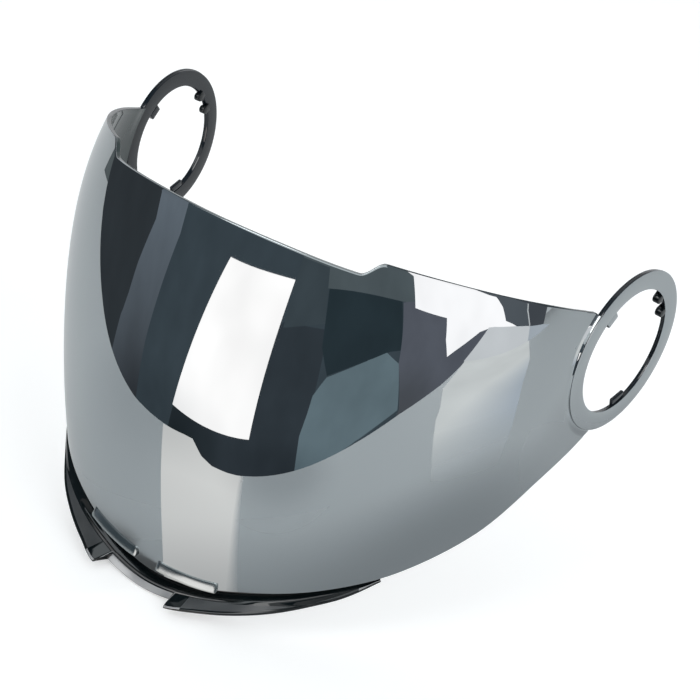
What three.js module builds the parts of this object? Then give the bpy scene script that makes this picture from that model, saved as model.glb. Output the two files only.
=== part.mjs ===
// Motorcycle helmet visor: a mirrored, double-curved lens carried by two flat side rings,
// with detent teeth and lugs in the ring bores and a dark chin lip with two finger lugs.
// Millimetres, +Z up, the visor looks along -Y, +X is the wearer's left.
// The origin is the middle of the pivot axis, on the line between the two ring centres.

import * as THREE from 'three';
import { mergeVertices } from 'three/addons/utils/BufferGeometryUtils.js';

// Lens: the surface is a table of radii about an upright axis behind the face.
const lensRadius = 118;
const lensAxisBack = 10;
const lensThickness = 2;
const lensEdgeRound = 0.35;
const browHeight = 46;
const chinDepth = 108.8;
const tableTop = 46;
const tableBottom = 107;
// Rows run from the middle of the face to the side, columns from brow to chin.
const lensRadiusShares = [
  [0.8728, 0.9927, 1.0356, 0.9999],
  [0.8890, 0.9988, 1.0383, 1.0038],
  [0.9100, 1.0175, 1.0222, 0.9606],
  [0.9190, 1.0160, 0.9921, 0.9605],
  [1.0105, 1.0001, 0.9931, 0.9692],
];
// Brow edge: a wide shallow recess between two sloping steps, then the shoulders.
const recessEdgeShares = [[0, 0.982], [0.196, 0.965], [0.392, 0.9], [0.46, 0.87]];
const shoulderEdgeShares = [[0.35, 1.025], [0.455, 0.997], [0.636, 0.889], [0.832, 0.721]];
const stepInnerShare = 0.395;
const stepOuterShare = 0.455;
// Lower edge, from the middle of the chin to the foot of the side ring.
const lowerEdgeShares = [
  [0, 1], [0.113, 0.968], [0.248, 0.894], [0.406, 0.818],
  [0.564, 0.737], [0.722, 0.608], [0.857, 0.434],
];

// Side rings: flat plates that stand a little proud of the lens and toe in to the front.
const pivotWidthShare = 1.017;
const ringToeIn = 6.2;
const ringOuterRadius = 34.4;
const ringWidth = 7.9;
const ringThickness = 2.15;
const ringEdgeRound = 0.3;
const seamClearance = 0.3;
const stepFootWidth = 3.1;
const stepTopWidth = 0.8;
const stepTopAngle = 137;
const stepFootAngle = 250;

// Pieces in the ring bore, placed by their angle on the ring (0 = rearward, 90 = up).
const tabAngle = 130;
const tabWidth = 6;
const tabReach = 3.2;
const upperToothAngle = 44.5;
const lowerToothAngle = 23.5;
const toothWidth = 4.1;
const toothReach = 2.7;
const toothCapReach = 1.8;
const toothCapHeight = 0.7;
const toothFaceShare = 0.72;
const lugAngle = -76;
const lugWidth = 7.8;
const lugReach = 3;
const lugThicknessShare = 0.74;
const boreClearance = 0.3;
const blockEdgeRound = 0.4;

// Chin lip: an upright wall behind the lens edge and a shelf that runs forward below it.
const lipHalfAngle = 46;
const lipWallHeight = 6.5;
const lipWallThickness = 1.9;
const lipShelfThickness = 2.2;
const lipRimHeight = 1.5;
const lipRimRound = 0.35;
const lipClearance = 0.35;
const lipGroove = 2;
const lipNotchHalfWidth = 19.2;
const lipNotchReach = 6.9;
const lipNotchDrop = 2.6;
const lipLugReach = 13.5;
const lipLugWallRun = 1.5;
const lipSideDrop = 7.4;
// Reach and drop of the shelf edge and height of the groove, from the lug tip to the lip end.
const lipReachShares = [
  [0, 1], [0.14, 0.765], [0.31, 0.52], [0.475, 0.325], [0.67, 0.09], [0.83, 0.01], [1, 0.01],
];
const lipDropShares = [
  [0, 0.47], [0.14, 0.66], [0.31, 0.89], [0.475, 0.94], [0.67, 0.91], [0.83, 0.78], [1, 0.24],
];
const lipGrooveShares = [[0, 1], [0.6, 0.9], [1, 0.25]];

// Lip pads: two raised bars on the lens, just above its lower edge.
const padInnerAngle = 3.7;
const padOuterAngle = 17;
const padHeight = 4.8;
const padProud = 3.4;
const padInnerRise = 5.8;
const padOuterRise = 0.9;
const padClearance = 0.3;
const padEdgeRound = 0.7;

// Grid densities.
const lensInnerColumns = 13;
const lensStepColumns = 5;
const lensOuterColumns = 20;
const lensRows = 16;
const ringSegments = 72;
const stepSegments = 28;
const lipSegments = 56;
const outerRunShare = 0.36;
const padSegments = 12;

// Distance under which corners are one corner, and the stride for reading a slope.
const weldTolerance = 1e-5;
const slopeStride = 1e-3;

const deg = Math.PI / 180;

// Smooth curve through [position, value] pairs, flat at the first pair.
function curve(pairs, x) {
  const n = pairs.length;
  const slopes = pairs.map((p, i) => {
    if (i === 0) return 0;
    if (i === n - 1) return (p[1] - pairs[i - 1][1]) / (p[0] - pairs[i - 1][0]);
    return (pairs[i + 1][1] - pairs[i - 1][1]) / (pairs[i + 1][0] - pairs[i - 1][0]);
  });
  let i = 0;
  while (i < n - 2 && x > pairs[i + 1][0]) i += 1;
  const [x0, y0] = pairs[i];
  const [x1, y1] = pairs[i + 1];
  const h = x1 - x0;
  const t = Math.min(Math.max((x - x0) / h, 0), 1);
  const t2 = t * t;
  const t3 = t2 * t;
  return y0 * (2 * t3 - 3 * t2 + 1) + h * slopes[i] * (t3 - 2 * t2 + t)
    + y1 * (3 * t2 - 2 * t3) + h * slopes[i + 1] * (t3 - t2);
}

// Weights of a smooth curve through all stations of the radius table.
function stationWeights(stations, x) {
  return stations.map((s, i) => stations.reduce(
    (w, other, j) => (i === j ? w : (w * (x - other)) / (s - other)), 1));
}

const angleStations = lensRadiusShares.map((row, i) => (i / (lensRadiusShares.length - 1)) ** 2);
const heightStations = lensRadiusShares[0].map(
  (value, j, row) => tableTop - (j / (row.length - 1)) * (tableTop + tableBottom));

// Outer lens surface at an angle round the face and a height.
function lensPoint(phi, z) {
  const wa = stationWeights(angleStations, (phi / (Math.PI / 2)) ** 2);
  const wh = stationWeights(heightStations, z);
  let share = 0;
  lensRadiusShares.forEach((row, i) => row.forEach((value, j) => {
    share += wa[i] * wh[j] * value;
  }));
  const r = lensRadius * share;
  return new THREE.Vector3(r * Math.sin(phi), -lensAxisBack - r * Math.cos(phi), z);
}

function lensNormal(phi, z) {
  const turn = slopeStride / lensRadius;
  const across = lensPoint(phi + turn, z).sub(lensPoint(phi - turn, z));
  const up = lensPoint(phi, z + slopeStride).sub(lensPoint(phi, z - slopeStride));
  return across.cross(up).normalize();
}

// Point at a depth behind the outer surface; a negative depth stands in front of it.
function lensDepth(phi, z, depth) {
  return lensPoint(phi, z).addScaledVector(lensNormal(phi, z), -depth);
}

const ringBoreRadius = ringOuterRadius - ringWidth;

// Frame of the wearer's-left ring: centre on the outer face, rearward axis, outward normal.
const pivotHalfWidth = lensRadius * pivotWidthShare;
const ringCentre = new THREE.Vector3(pivotHalfWidth, 0, 0);
const ringRear = new THREE.Vector3(Math.sin(ringToeIn * deg), Math.cos(ringToeIn * deg), 0);
const ringOut = new THREE.Vector3(Math.cos(ringToeIn * deg), -Math.sin(ringToeIn * deg), 0);

// Ring coordinates: rearward, up and depth inboard of the outer face.
function ringPoint(a, b, depth) {
  return ringCentre.clone().addScaledVector(ringRear, a)
    .add(new THREE.Vector3(0, 0, b)).addScaledVector(ringOut, -depth);
}

// Angle round the face of the lens point that lies over ring coordinates (a, z).
function lensAngleOver(a, z) {
  let low = 40 * deg;
  let high = 100 * deg;
  for (let k = 0; k < 50; k += 1) {
    const mid = (low + high) / 2;
    if (lensPoint(mid, z).sub(ringCentre).dot(ringRear) < a) low = mid;
    else high = mid;
  }
  return (low + high) / 2;
}

// Closed body from a row of equal loops; the ends are closed unless the row runs round.
function skin(loops, { round = false, ladder = false } = {}) {
  const n = loops[0].length;
  const positions = loops.flat().flatMap((p) => [p.x, p.y, p.z]);
  const index = [];
  const rows = round ? loops.length : loops.length - 1;
  for (let i = 0; i < rows; i += 1) {
    const next = (i + 1) % loops.length;
    for (let j = 0; j < n; j += 1) {
      const k = (j + 1) % n;
      index.push(i * n + j, next * n + j, next * n + k, i * n + j, next * n + k, i * n + k);
    }
  }
  if (!round) {
    const last = (loops.length - 1) * n;
    capFaces(loops[0], ladder).forEach(([a, b, c]) => index.push(a, b, c));
    capFaces(loops[loops.length - 1], ladder).forEach(
      ([a, b, c]) => index.push(last + a, last + c, last + b));
  }
  const geometry = new THREE.BufferGeometry();
  geometry.setAttribute('position', new THREE.Float32BufferAttribute(positions, 3));
  geometry.setIndex(index);
  return outward(mergeVertices(geometry, weldTolerance));
}

// Triangles that close an end loop, as rungs between its two long sides or as a flat face.
function capFaces(loop, ladder) {
  const n = loop.length;
  if (ladder) {
    const faces = [];
    for (let i = 0; i < n / 2 - 1; i += 1) {
      faces.push([i, i + 1, n - 2 - i], [i, n - 2 - i, n - 1 - i]);
    }
    return faces;
  }
  const normal = new THREE.Vector3();
  loop.forEach((p, i) => normal.add(p.clone().cross(loop[(i + 1) % n])));
  normal.normalize();
  const u = new THREE.Vector3().subVectors(loop[1], loop[0]).normalize();
  const v = normal.clone().cross(u);
  const flat = loop.map((p) => new THREE.Vector2(p.dot(u), p.dot(v)));
  return THREE.ShapeUtils.triangulateShape(flat, []);
}

// Turn every face out, judged by the sign of the enclosed volume.
function outward(geometry) {
  const p = geometry.getAttribute('position');
  const index = Array.from(geometry.getIndex().array);
  const a = new THREE.Vector3();
  const b = new THREE.Vector3();
  const c = new THREE.Vector3();
  let volume = 0;
  for (let i = 0; i < index.length; i += 3) {
    a.fromBufferAttribute(p, index[i]);
    b.fromBufferAttribute(p, index[i + 1]);
    c.fromBufferAttribute(p, index[i + 2]);
    volume += a.dot(b.cross(c));
  }
  if (volume < 0) {
    for (let i = 0; i < index.length; i += 3) {
      [index[i + 1], index[i + 2]] = [index[i + 2], index[i + 1]];
    }
  }
  geometry.setIndex(index);
  geometry.computeVertexNormals();
  return geometry;
}

const mirrored = (loops) => loops.map((loop) => loop.map((p) => new THREE.Vector3(-p.x, p.y, p.z)));

// The step runs round the front of the ring and widens from its top to its foot.
const stepInnerRadius = ringOuterRadius + seamClearance;
const stepAngle = (v) => (stepFootAngle + v * (stepTopAngle - stepFootAngle)) * deg;
const stepOuterRadius = (v) => stepInnerRadius + stepTopWidth
  + (stepFootWidth - stepTopWidth) * (1 - v) ** 2;

// Lens ends: an arc round the ring, outside the sloping step.
function lensEnd(v) {
  const radius = stepOuterRadius(v) + seamClearance;
  const z = radius * Math.sin(stepAngle(v));
  return { phi: lensAngleOver(radius * Math.cos(stepAngle(v)), z), z };
}

const lensFoot = lensEnd(0);
const lensBrow = lensEnd(1);

// Height of the brow edge at a share of its run from the middle to the ring.
function browEdge(s) {
  const recess = browHeight * curve(recessEdgeShares, s);
  const shoulder = curve(
    [...shoulderEdgeShares.map(([x, y]) => [x, y * browHeight]), [1, lensBrow.z]], s);
  const t = Math.min(Math.max((s - stepInnerShare) / (stepOuterShare - stepInnerShare), 0), 1);
  const blend = t * t * (3 - 2 * t);
  return s < stepInnerShare ? recess : recess + (shoulder - recess) * blend;
}

function chinEdge(s) {
  return curve([...lowerEdgeShares.map(([x, y]) => [x, -y * chinDepth]), [1, lensFoot.z]], s);
}

// Height of the lens lower edge at an angle round the face.
const chinEdgeAt = (phi) => chinEdge(Math.abs(phi) / lensFoot.phi);

// Angle and height on the lens for a share across (0 middle, 1 ring) and a share up.
function lensGrid(s, v) {
  const side = lensEnd(v);
  const phiLow = s * lensFoot.phi;
  const phiTop = s * lensBrow.phi;
  const phi = (1 - v) * phiLow + v * phiTop
    + s * (side.phi - (1 - v) * lensFoot.phi - v * lensBrow.phi);
  const z = (1 - v) * chinEdge(s) + v * browEdge(s)
    + s * (side.z - (1 - v) * lensFoot.z - v * lensBrow.z);
  return { phi, z };
}

function lensLoop(s) {
  const at = (v, depth) => {
    const { phi, z } = lensGrid(Math.abs(s), v);
    return lensDepth(phi * Math.sign(s), z, depth);
  };
  const inset = lensEdgeRound / (browHeight + chinDepth);
  const loop = [];
  for (let j = 0; j <= lensRows; j += 1) loop.push(at(inset + (1 - 2 * inset) * (j / lensRows), 0));
  loop.push(at(1, lensEdgeRound), at(1, lensThickness - lensEdgeRound));
  for (let j = lensRows; j >= 0; j -= 1) {
    loop.push(at(inset + (1 - 2 * inset) * (j / lensRows), lensThickness));
  }
  loop.push(at(0, lensThickness - lensEdgeRound), at(0, lensEdgeRound));
  return loop;
}

// Column positions across the lens, drawn together at the two steps of the brow.
function lensColumnShares() {
  const half = [];
  for (let i = 0; i < lensInnerColumns; i += 1) {
    half.push((stepInnerShare * i) / lensInnerColumns);
  }
  for (let i = 0; i < lensStepColumns; i += 1) {
    half.push(stepInnerShare + ((stepOuterShare - stepInnerShare) * i) / lensStepColumns);
  }
  for (let i = 0; i <= lensOuterColumns; i += 1) {
    half.push(stepOuterShare + ((1 - stepOuterShare) * i) / lensOuterColumns);
  }
  return [...half.slice(1).map((s) => -s).reverse(), ...half];
}

function lensGeometry() {
  return skin(lensColumnShares().map(lensLoop), { ladder: true });
}

// Loop of a chamfered rectangle from corner pairs, in any two directions.
function softBox(min, max, round, place) {
  const [u0, w0] = min;
  const [u1, w1] = max;
  const r = Math.min(round, (u1 - u0) / 3, (w1 - w0) / 3);
  return [
    place(u0 + r, w0), place(u1 - r, w0), place(u1, w0 + r), place(u1, w1 - r),
    place(u1 - r, w1), place(u0 + r, w1), place(u0, w1 - r), place(u0, w0 + r),
  ];
}

function ringLoops() {
  const loops = [];
  for (let i = 0; i < ringSegments; i += 1) {
    const angle = (i / ringSegments) * 2 * Math.PI;
    loops.push(softBox([ringBoreRadius, 0], [ringOuterRadius, ringThickness], ringEdgeRound,
      (r, depth) => ringPoint(r * Math.cos(angle), r * Math.sin(angle), depth)));
  }
  return loops;
}

// Step between ring and lens: flush with the ring on one side, with the lens on the other.
function stepLoops() {
  const loops = [];
  for (let i = 0; i <= stepSegments; i += 1) {
    const v = i / stepSegments;
    const c = Math.cos(stepAngle(v));
    const s = Math.sin(stepAngle(v));
    const outer = stepOuterRadius(v);
    const phi = lensAngleOver(outer * c, outer * s);
    loops.push([
      ringPoint(stepInnerRadius * c, stepInnerRadius * s, ringEdgeRound),
      lensPoint(phi, outer * s),
      lensDepth(phi, outer * s, lensThickness),
      ringPoint(stepInnerRadius * c, stepInnerRadius * s, ringThickness),
    ]);
  }
  return loops;
}

// Block in the bore, set by angle, width along the rim and reach toward the centre.
function boreBlock(angle, width, reach, shallow, deep) {
  const rim = ringBoreRadius - boreClearance;
  const c = Math.cos(angle * deg);
  const s = Math.sin(angle * deg);
  const place = (radius, along, depth) => ringPoint(
    radius * c - along * s, radius * s + along * c, depth);
  const half = width / 2;
  const rimAt = (along) => Math.sqrt(rim * rim - along * along);
  const outline = (grow) => {
    const points = [];
    const side = half - grow;
    const tip = rim - reach + grow;
    const corner = Math.min(blockEdgeRound * 2, side / 2);
    points.push([tip, -side + corner], [tip, side - corner]);
    points.push([tip + corner, side]);
    for (let i = 0; i <= 4; i += 1) {
      const along = side * (1 - i / 2);
      points.push([rimAt(along), along]);
    }
    points.push([tip + corner, -side]);
    return points;
  };
  const round = Math.min(blockEdgeRound, (deep - shallow) / 3);
  return [[round, shallow], [0, shallow + round], [0, deep - round], [round, deep]].map(
    ([grow, depth]) => outline(grow).map(([radius, along]) => place(radius, along, depth)));
}

// Tooth: a block through the bore whose cap laps over the inner face of the ring.
function toothLoops(angle) {
  const rim = ringBoreRadius - boreClearance;
  const c = Math.cos(angle * deg);
  const s = Math.sin(angle * deg);
  const face = ringThickness + boreClearance;
  const loops = [];
  const half = toothWidth / 2;
  const steps = [[-1, 1], [-toothFaceShare, 0], [toothFaceShare, 0], [1, 1]];
  steps.forEach(([share, inset]) => {
    const along = half * share;
    const r = inset * Math.min(blockEdgeRound, toothCapHeight / 3);
    const rimHere = Math.sqrt(rim * rim - half * half);
    const tip = rim - toothReach + r;
    const outline = [
      [tip, r], [rimHere - r, r], [rimHere - r, face + r], [rimHere + toothCapReach - r, face + r],
      [rimHere + toothCapReach - r, face + toothCapHeight - r], [tip, face + toothCapHeight - r],
    ];
    loops.push(outline.map(([radius, depth]) => ringPoint(
      radius * c - along * s, radius * s + along * c, depth)));
  });
  return loops;
}

// Half angle of the notch between the two finger lugs.
const notchAngle = Math.asin(lipNotchHalfWidth / (lensRadius + lipLugReach));
const lipEnd = lipHalfAngle * deg;

// Section of the lip at an angle; inside the notch the shelf edge steps back.
function lipLoop(phi, inNotch) {
  const z = chinEdgeAt(phi);
  const edge = lensPoint(phi, z);
  const base = Math.hypot(edge.x, edge.y + lensAxisBack);
  const at = (reach, rise) => new THREE.Vector3(
    (base + reach) * Math.sin(phi), -lensAxisBack - (base + reach) * Math.cos(phi), z + rise);
  const wall = (depth) => lensDepth(phi, z + lipWallHeight, lensThickness + lipClearance + depth);
  const t = Math.max((Math.abs(phi) - notchAngle) / (lipEnd - notchAngle), 0);
  const reach = inNotch ? lipNotchReach : lipLugReach * curve(lipReachShares, t);
  const drop = inNotch ? lipNotchDrop : lipSideDrop * curve(lipDropShares, t);
  const groove = lipGroove * curve(lipGrooveShares, t);
  const rimTop = Math.min(lipRimHeight - drop, -groove - lipRimRound);
  const foot = -groove - lipShelfThickness;
  const inner = -lensThickness - lipClearance;
  return [
    wall(lipWallThickness),
    wall(0),
    at(inner, -groove),
    at(0, -groove),
    at(reach - lipRimRound, rimTop),
    at(reach, rimTop - lipRimRound),
    at(reach, Math.min(lipRimRound - drop, rimTop - 2 * lipRimRound)),
    at(reach - lipRimRound, Math.min(-drop, rimTop - 3 * lipRimRound)),
    at(inner - lipWallThickness, foot),
  ];
}

function lipLoops() {
  const wallTurn = lipLugWallRun / lensRadius;
  const outerSteps = Math.round(lipSegments * outerRunShare);
  const innerSteps = lipSegments - 2 * outerSteps;
  const right = [];
  for (let i = 0; i <= outerSteps; i += 1) {
    right.push(lipLoop(notchAngle + ((lipEnd - notchAngle) * i) / outerSteps, false));
  }
  const middle = [];
  const turn = notchAngle - wallTurn;
  for (let i = 0; i <= innerSteps; i += 1) {
    middle.push(lipLoop(-turn + (2 * turn * i) / innerSteps, true));
  }
  return [...mirrored(right).reverse(), ...middle, ...right];
}

function padLoops() {
  const loops = [];
  const place = (phi, inset) => {
    const t = (phi / deg - padInnerAngle) / (padOuterAngle - padInnerAngle);
    const low = chinEdgeAt(phi) + padInnerRise + (padOuterRise - padInnerRise) * t;
    return softBox(
      [low + inset, padClearance], [low + padHeight - inset, padClearance + padProud - inset],
      padEdgeRound, (z, proud) => lensDepth(phi, z, -proud));
  };
  const roundTurn = padEdgeRound / lensRadius;
  loops.push(place(padInnerAngle * deg, padEdgeRound));
  for (let i = 0; i <= padSegments; i += 1) {
    const start = padInnerAngle * deg + roundTurn;
    const stop = padOuterAngle * deg - roundTurn;
    loops.push(place(start + ((stop - start) * i) / padSegments, 0));
  }
  loops.push(place(padOuterAngle * deg, padEdgeRound));
  return loops;
}

const mirrorCoat = () => new THREE.MeshStandardMaterial(
  { name: 'mirror_coat', color: 0xa9aeb4, metalness: 1, roughness: 0.06 });
const smokeClear = () => new THREE.MeshStandardMaterial(
  { name: 'smoke_polycarbonate', color: 0x3a3c40, metalness: 0, roughness: 0.12 });
const blackGloss = () => new THREE.MeshStandardMaterial(
  { name: 'black_gloss', color: 0x121315, metalness: 0, roughness: 0.2 });

const group = new THREE.Group();
group.name = 'helmet_visor';

function add(name, geometry, material) {
  const mesh = new THREE.Mesh(geometry, material);
  mesh.name = name;
  group.add(mesh);
}

// One piece on each side: the wearer's left as built, the right as its mirror image.
function addPair(name, loops, options, material) {
  add(`${name}_left`, skin(loops, options), material());
  add(`${name}_right`, skin(mirrored(loops), options), material());
}

add('mirror_lens', lensGeometry(), mirrorCoat());
addPair('side_ring', ringLoops(), { round: true }, mirrorCoat);
addPair('ring_step', stepLoops(), {}, mirrorCoat);
addPair('locating_tab', boreBlock(tabAngle, tabWidth, tabReach, 0, ringThickness), {}, mirrorCoat);
addPair('upper_tooth', toothLoops(upperToothAngle), {}, blackGloss);
addPair('lower_tooth', toothLoops(lowerToothAngle), {}, blackGloss);
addPair('stop_lug', boreBlock(
  lugAngle, lugWidth, lugReach, ringThickness * (1 - lugThicknessShare), ringThickness),
{}, smokeClear);
add('chin_lip', skin(lipLoops()), smokeClear());
addPair('lip_pad', padLoops(), {}, smokeClear);

export default group;
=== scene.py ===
"""Looks for the mirrored helmet visor: one lens moulding with its ring shoulders, two side rings
with their bore pieces, the dark chin lip and its bars, on a pale table in a soft studio."""

import math

import bmesh
import bpy
from mathutils import Matrix, Vector


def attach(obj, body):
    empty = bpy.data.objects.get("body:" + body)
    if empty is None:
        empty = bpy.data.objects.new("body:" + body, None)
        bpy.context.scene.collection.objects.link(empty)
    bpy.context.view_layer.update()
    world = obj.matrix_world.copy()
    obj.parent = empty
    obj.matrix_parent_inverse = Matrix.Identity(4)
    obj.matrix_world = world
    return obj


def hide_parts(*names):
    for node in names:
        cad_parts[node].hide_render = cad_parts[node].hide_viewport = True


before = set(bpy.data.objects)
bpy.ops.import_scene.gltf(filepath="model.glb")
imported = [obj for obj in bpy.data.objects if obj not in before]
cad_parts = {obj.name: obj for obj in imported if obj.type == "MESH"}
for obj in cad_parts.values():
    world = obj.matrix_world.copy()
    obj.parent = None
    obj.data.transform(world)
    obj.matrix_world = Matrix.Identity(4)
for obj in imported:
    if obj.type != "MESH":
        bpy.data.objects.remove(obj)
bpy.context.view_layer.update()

MM = 0.001
DEG = math.pi / 180

# Camera

CAMERA_PLACE = Vector((0.3024, -0.4860, 0.2765))
CAMERA_RIGHT = Vector((0.7898, 0.5966, 0.1425))
CAMERA_UP = Vector((-0.4044, 0.3318, 0.8523))
CAMERA_FORWARD = Vector((-0.4612, 0.7307, -0.5033))
CAMERA_LENS = 76.83
SENSOR_WIDTH = 36
CAMERA_CLIP_START = 0.01


def make_camera():
    data = bpy.data.cameras.new("camera")
    data.lens = CAMERA_LENS
    data.sensor_width = SENSOR_WIDTH
    data.clip_start = CAMERA_CLIP_START
    camera = bpy.data.objects.new("camera", data)
    bpy.context.scene.collection.objects.link(camera)
    turn = Matrix((CAMERA_RIGHT, CAMERA_UP, -CAMERA_FORWARD)).transposed().to_4x4()
    camera.matrix_world = Matrix.Translation(CAMERA_PLACE) @ turn
    bpy.context.scene.camera = camera


# Sizes, in millimetres

LENS_RADIUS = 118
LENS_AXIS_BACK = 10
LENS_THICKNESS = 2
LENS_EDGE_ROUND = 0.4
BROW_HEIGHT = 46
CHIN_DEPTH = 108.8
RADIUS_SHARES_TOP = 46
RADIUS_SHARES_BOTTOM = 107
# Radius as a share of LENS_RADIUS: a row per angle from the front, a value per height from the top.
LENS_RADIUS_SHARES = (
    (0.8728, 0.9927, 1.0356, 0.9999),
    (0.8890, 0.9988, 1.0383, 1.0038),
    (0.9100, 1.0175, 1.0222, 0.9606),
    (0.9190, 1.0160, 0.9921, 0.9605),
    (1.0105, 1.0001, 0.9931, 0.9692),
)
# Brow and chin edges: share of the half width, share of the height.
RECESS_EDGE = ((0, 0.982), (0.196, 0.965), (0.392, 0.9), (0.46, 0.87))
SHOULDER_EDGE = ((0.35, 1.025), (0.455, 0.997), (0.636, 0.889), (0.832, 0.721))
STEP_INNER_SHARE = 0.395
STEP_OUTER_SHARE = 0.455
LOWER_EDGE = (
    (0, 1), (0.113, 0.968), (0.248, 0.894), (0.406, 0.818),
    (0.564, 0.737), (0.722, 0.608), (0.857, 0.434),
)
RING_TOE_IN = 6.2
RING_OUTER = 34.4
RING_BORE = 26.5
RING_THICKNESS = 2.15
PIVOT_SHARE = 1.017
PIVOT_HALF_WIDTH = LENS_RADIUS * PIVOT_SHARE
SEAM = 0.3
STEP_FOOT_WIDTH = 3.1
STEP_TOP_WIDTH = 0.8
STEP_TOP_ANGLE = 137
STEP_FOOT_ANGLE = 250
STEP_KEPT_RISE = 1.9
STEP_BLEND_REACH = 7
INNER_GROOVE = 1.0
EDGE_GROOVE = 0.25

LIP_HALF_ANGLE = 46
LIP_WALL_HEIGHT = 6.5
LIP_WALL = 1.9
LIP_SHELF = 2.2
LIP_CLEARANCE = 0.35
LIP_GROOVE = 2
NOTCH_HALF_WIDTH = 19.2
NOTCH_REACH = 6.9
NOTCH_DROP = 2.6
LUG_REACH = 13.5
LUG_WALL_RUN = 1.5
LIP_DROP = 7.4
# Each pair: share of the way from the notch to the lip's end, share of the size.
LIP_REACH_SHARES = (
    (0, 1), (0.14, 0.765), (0.31, 0.52), (0.475, 0.325), (0.67, 0.09), (0.83, 0.01), (1, 0.01),
)
LIP_DROP_SHARES = (
    (0, 0.47), (0.14, 0.66), (0.31, 0.89), (0.475, 0.94), (0.67, 0.91), (0.83, 0.78), (1, 0.24),
)
LIP_GROOVE_SHARES = ((0, 1), (0.6, 0.9), (1, 0.25))


# Lens surface


def curve(pairs, x):
    """Smooth curve through (position, value) pairs, flat at the first pair."""
    last = len(pairs) - 1

    def slope(i):
        if i == 0:
            return 0
        low, high = pairs[i - 1], pairs[min(i + 1, last)]
        return (high[1] - low[1]) / (high[0] - low[0])

    i = 0
    while i < last - 1 and x > pairs[i + 1][0]:
        i += 1
    (x0, y0), (x1, y1) = pairs[i], pairs[i + 1]
    run = x1 - x0
    t = min(max((x - x0) / run, 0), 1)
    return (y0 * (2 * t**3 - 3 * t**2 + 1) + run * slope(i) * (t**3 - 2 * t**2 + t)
            + y1 * (3 * t**2 - 2 * t**3) + run * slope(i + 1) * (t**3 - t**2))


def weights(stations, x):
    """Share of each station's value at x, for one smooth curve through all of them."""
    out = []
    for i, here in enumerate(stations):
        w = 1.0
        for j, other in enumerate(stations):
            if i != j:
                w *= (x - other) / (here - other)
        out.append(w)
    return out


LAST_ANGLE = len(LENS_RADIUS_SHARES) - 1
LAST_HEIGHT = len(LENS_RADIUS_SHARES[0]) - 1
ANGLE_STATIONS = [(i / LAST_ANGLE) ** 2 for i in range(LAST_ANGLE + 1)]
HEIGHT_STATIONS = [
    RADIUS_SHARES_TOP - (j / LAST_HEIGHT) * (RADIUS_SHARES_TOP + RADIUS_SHARES_BOTTOM)
    for j in range(LAST_HEIGHT + 1)
]
NORMAL_SPAN = 0.001
SEARCH_START = 40
SEARCH_END = 100
SEARCH_ROUNDS = 40


def lens_radius(phi, z):
    """Radius of the lens's outer face round its upright axis."""
    across = weights(ANGLE_STATIONS, (phi / (math.pi / 2)) ** 2)
    along = weights(HEIGHT_STATIONS, z)
    share = sum(a * sum(b * value for b, value in zip(along, row))
                for a, row in zip(across, LENS_RADIUS_SHARES))
    return LENS_RADIUS * share


def lens_point(phi, z):
    """Point of the lens's outer face at an angle from the front and a height."""
    r = lens_radius(phi, z)
    return Vector((r * math.sin(phi), -LENS_AXIS_BACK - r * math.cos(phi), z))


def lens_depth(phi, z, depth):
    """Point below the lens's outer face, along its normal."""
    if depth == 0:
        return lens_point(phi, z)
    across = lens_point(phi + NORMAL_SPAN, z) - lens_point(phi - NORMAL_SPAN, z)
    up = lens_point(phi, z + NORMAL_SPAN) - lens_point(phi, z - NORMAL_SPAN)
    return lens_point(phi, z) - across.cross(up).normalized() * depth


RING_CENTRE = Vector((PIVOT_HALF_WIDTH, 0, 0))
RING_REAR = Vector((math.sin(RING_TOE_IN * DEG), math.cos(RING_TOE_IN * DEG), 0))
RING_OUT = Vector((math.cos(RING_TOE_IN * DEG), -math.sin(RING_TOE_IN * DEG), 0))
RING_FRAME = Matrix((RING_REAR, Vector((0, 0, 1)), RING_OUT)).transposed().to_4x4()
RING_PLACE = Matrix.Translation(RING_CENTRE * MM) @ RING_FRAME


def ring_point(a, b, depth):
    """Point behind the ring's outer face: a toward the rear, b up, both from the pivot axis."""
    return RING_CENTRE + RING_REAR * a + Vector((0, 0, b)) - RING_OUT * depth


def lens_angle_over(a, z):
    """Angle at which the lens stands a behind the pivot axis, found by halving."""
    low, high = SEARCH_START * DEG, SEARCH_END * DEG
    for _ in range(SEARCH_ROUNDS):
        mid = (low + high) / 2
        if (lens_point(mid, z) - RING_CENTRE).dot(RING_REAR) < a:
            low = mid
        else:
            high = mid
    return (low + high) / 2


def step_angle(v):
    """Angle round the ring where the lens ends, at a share of the way from chin to brow."""
    return (STEP_FOOT_ANGLE + v * (STEP_TOP_ANGLE - STEP_FOOT_ANGLE)) * DEG


def step_radius(v):
    """Outer radius of the shoulder, wider at its foot."""
    return RING_OUTER + SEAM + STEP_TOP_WIDTH + (STEP_FOOT_WIDTH - STEP_TOP_WIDTH) * (1 - v) ** 2


def lens_end(v):
    """Angle and height where the lens meets the shoulder."""
    radius = step_radius(v) + SEAM
    z = radius * math.sin(step_angle(v))
    return lens_angle_over(radius * math.cos(step_angle(v)), z), z


FOOT_PHI, FOOT_Z = lens_end(0)
BROW_PHI, BROW_Z = lens_end(1)


def smooth(t):
    """Eases from 0 to 1."""
    t = min(max(t, 0), 1)
    return t * t * (3 - 2 * t)


def brow_edge(s):
    """Height of the brow edge: the shallow recess, then its sloping step up to the sides."""
    recess = BROW_HEIGHT * curve(RECESS_EDGE, s)
    if s < STEP_INNER_SHARE:
        return recess
    pairs = [(x, y * BROW_HEIGHT) for x, y in SHOULDER_EDGE] + [(1, BROW_Z)]
    blend = smooth((s - STEP_INNER_SHARE) / (STEP_OUTER_SHARE - STEP_INNER_SHARE))
    return recess + (curve(pairs, s) - recess) * blend


def chin_edge(s):
    """Height of the chin edge at a share of the half width."""
    return curve([(x, -y * CHIN_DEPTH) for x, y in LOWER_EDGE] + [(1, FOOT_Z)], s)


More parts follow.
